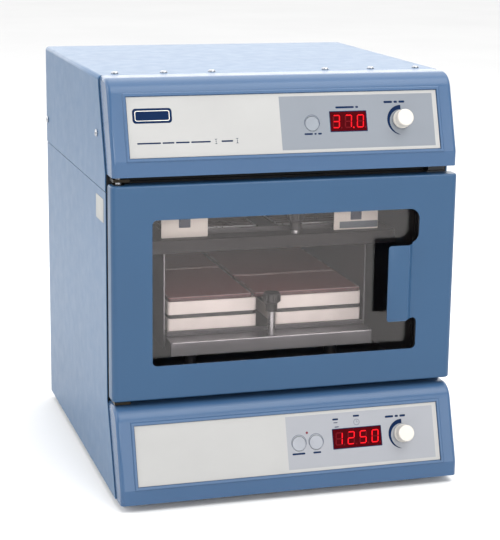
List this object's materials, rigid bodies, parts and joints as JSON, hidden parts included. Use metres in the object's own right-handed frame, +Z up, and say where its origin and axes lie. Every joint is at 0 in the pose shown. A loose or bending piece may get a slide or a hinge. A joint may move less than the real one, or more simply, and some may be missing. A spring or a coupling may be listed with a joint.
{
  "type": "microplate shaker incubator",
  "caption": "Benchtop heated chamber with a glazed hinged door, sloping control fascias and an orbiting carrier for microplates.",
  "frame": {"origin": "middle of the overall box at the surface the feet stand on", "axes": "+Z up, -Y out of the door, +X to the right when facing the door"},
  "size_m": [0.371, 0.4107, 0.4331],
  "materials": {
    "blue_case": "semi-gloss textured enamel",
    "zinc": "zinc plated",
    "black_rubber": "moulded",
    "blue_fascia": "smooth moulded enamel",
    "overlay": "printed polycarbonate film",
    "display_red": "dark red filter",
    "circuit_board": "solder mask",
    "passivated": "yellow zinc plated",
    "liner_steel": "bright stainless sheet",
    "foam": "closed-cell foam",
    "grey_rubber": "soft silicone",
    "board_cover": "folded sheet",
    "motor_black": "baked enamel",
    "heater_metal": "sheathed element",
    "black_plastic": "moulded",
    "blue_door": "satin enamel",
    "tinted_pane": "tinted clear acrylic",
    "cream_plastic": "moulded",
    "aluminium": "milled",
    "deck_steel": "folded stainless sheet",
    "plate_white": "polystyrene",
    "lid_smoke": "dark clear lid"
  },
  "bodies": {
    "case": {"lower_body": "blue_case", "top_cover": "blue_case", "rear_panel": "blue_case", "case_screws": "zinc", "feet": "black_rubber", "upper_fascia": "blue_fascia", "lower_fascia": "blue_fascia", "upper_overlay": "overlay", "lower_overlay": "overlay", "upper_display": "display_red", "lower_display": "display_red", "control_boards": "circuit_board", "rotary_controls": "zinc", "hinge_pins": "zinc", "hinge_brackets": "passivated", "catch_magnet": "zinc", "chamber_liner": "liner_steel", "chamber_frame": "liner_steel", "insulation": "foam", "door_seal": "grey_rubber", "fan_housing": "board_cover", "fan_motor": "motor_black", "heater_element": "heater_metal", "temperature_probe": "liner_steel", "drive_base": "zinc", "base_bearings": "zinc", "drive_motor": "motor_black", "drive_belt": "black_rubber", "power_supply": "board_cover", "mains_inlet": "black_plastic"},
    "door": {"door_skin": "blue_door", "door_liner": "black_plastic", "window_pane": "tinted_pane", "window_gasket": "black_plastic", "hinge_bushes": "passivated", "striker_plate": "zinc"},
    "upper_knob_body": {"upper_knob": "cream_plastic", "upper_spindle": "zinc"},
    "lower_knob_body": {"lower_knob": "cream_plastic", "lower_spindle": "zinc"},
    "set_button_body": {"set_button": "overlay"},
    "start_button_body": {"start_button": "overlay"},
    "mode_button_body": {"mode_button": "overlay"},
    "fan_rotor": {"fan_impeller": "black_plastic"},
    "crank": {"drive_pulley": "aluminium", "counterweight": "zinc"},
    "motor_rotor": {"motor_pulley": "aluminium"},
    "front_idler": {"idler_front": "aluminium"},
    "rear_idler": {"idler_rear": "aluminium"},
    "carrier": {"drive_frame": "aluminium", "carrier_bearings": "zinc", "lower_deck": "deck_steel", "upper_deck": "deck_steel", "rack_sides": "deck_steel", "plate_nests": "deck_steel", "microplates": "plate_white", "plate_lids": "lid_smoke", "hold_down_posts": "zinc"},
    "lower_hold": {"lower_hold_knob": "black_plastic"},
    "upper_hold": {"upper_hold_knob": "black_plastic"}
  },
  "joints": [
    {"name": "door_hinge", "type": "hinge", "parent": "case", "child": "door", "pos_m": [-0.174, -0.15725, 0.218], "axis": [0, 0, -1], "range_deg": [0, 105]},
    {"name": "upper_knob_turn", "type": "hinge", "parent": "case", "child": "upper_knob_body", "pos_m": [0.1235, -0.1576, 0.3864], "axis": [0, 0.95, -0.3123], "range_deg": [0, 300]},
    {"name": "lower_knob_turn", "type": "hinge", "parent": "case", "child": "lower_knob_body", "pos_m": [0.1235, -0.19, 0.057], "axis": [0, 0.95, -0.3123], "range_deg": [0, 300]},
    {"name": "set_button_press", "type": "slide", "parent": "case", "child": "set_button_body", "axis": [0, 0.95, -0.3123], "range_m": [0, 0.0006], "stiffness_N_per_m": 800},
    {"name": "start_button_press", "type": "slide", "parent": "case", "child": "start_button_body", "axis": [0, 0.95, -0.3123], "range_m": [0, 0.0006], "stiffness_N_per_m": 800},
    {"name": "mode_button_press", "type": "slide", "parent": "case", "child": "mode_button_body", "axis": [0, 0.95, -0.3123], "range_m": [0, 0.0006], "stiffness_N_per_m": 800},
    {"name": "fan_spin", "type": "hinge", "parent": "case", "child": "fan_rotor", "pos_m": [0, 0.09525, 0.338], "axis": [0, 0, 1], "continuous": true},
    {"name": "orbit_drive", "type": "hinge", "parent": "case", "child": "crank", "pos_m": [-0.00075, 0.03925, 0.048], "axis": [0, 0, 1], "continuous": true},
    {"name": "motor_spin", "type": "hinge", "parent": "case", "child": "motor_rotor", "pos_m": [0.125, -0.06075, 0.048], "axis": [0, 0, 1], "continuous": true},
    {"name": "front_idler_spin", "type": "hinge", "parent": "case", "child": "front_idler", "pos_m": [-0.07575, -0.06075, 0.048], "axis": [0, 0, 1], "continuous": true},
    {"name": "rear_idler_spin", "type": "hinge", "parent": "case", "child": "rear_idler", "pos_m": [-0.07575, 0.13925, 0.048], "axis": [0, 0, 1], "continuous": true},
    {"name": "carrier_orbit", "type": "hinge", "parent": "crank", "child": "carrier", "pos_m": [0, 0.03925, 0.068], "axis": [0, 0, 1], "continuous": true},
    {"name": "lower_hold_turn", "type": "hinge", "parent": "carrier", "child": "lower_hold", "pos_m": [0, -0.11475, 0.1791], "axis": [0, 0, 1], "range_deg": [-180, 180]},
    {"name": "upper_hold_turn", "type": "hinge", "parent": "carrier", "child": "upper_hold", "pos_m": [0.025, -0.11475, 0.2663], "axis": [0, 0, 1], "range_deg": [-180, 180]}
  ],
  "couplings": [
    {"joint": "motor_spin", "follows": "orbit_drive", "ratio": 3},
    {"joint": "front_idler_spin", "follows": "orbit_drive", "ratio": 1},
    {"joint": "rear_idler_spin", "follows": "orbit_drive", "ratio": 1},
    {"joint": "carrier_orbit", "follows": "orbit_drive", "ratio": -1}
  ]
}
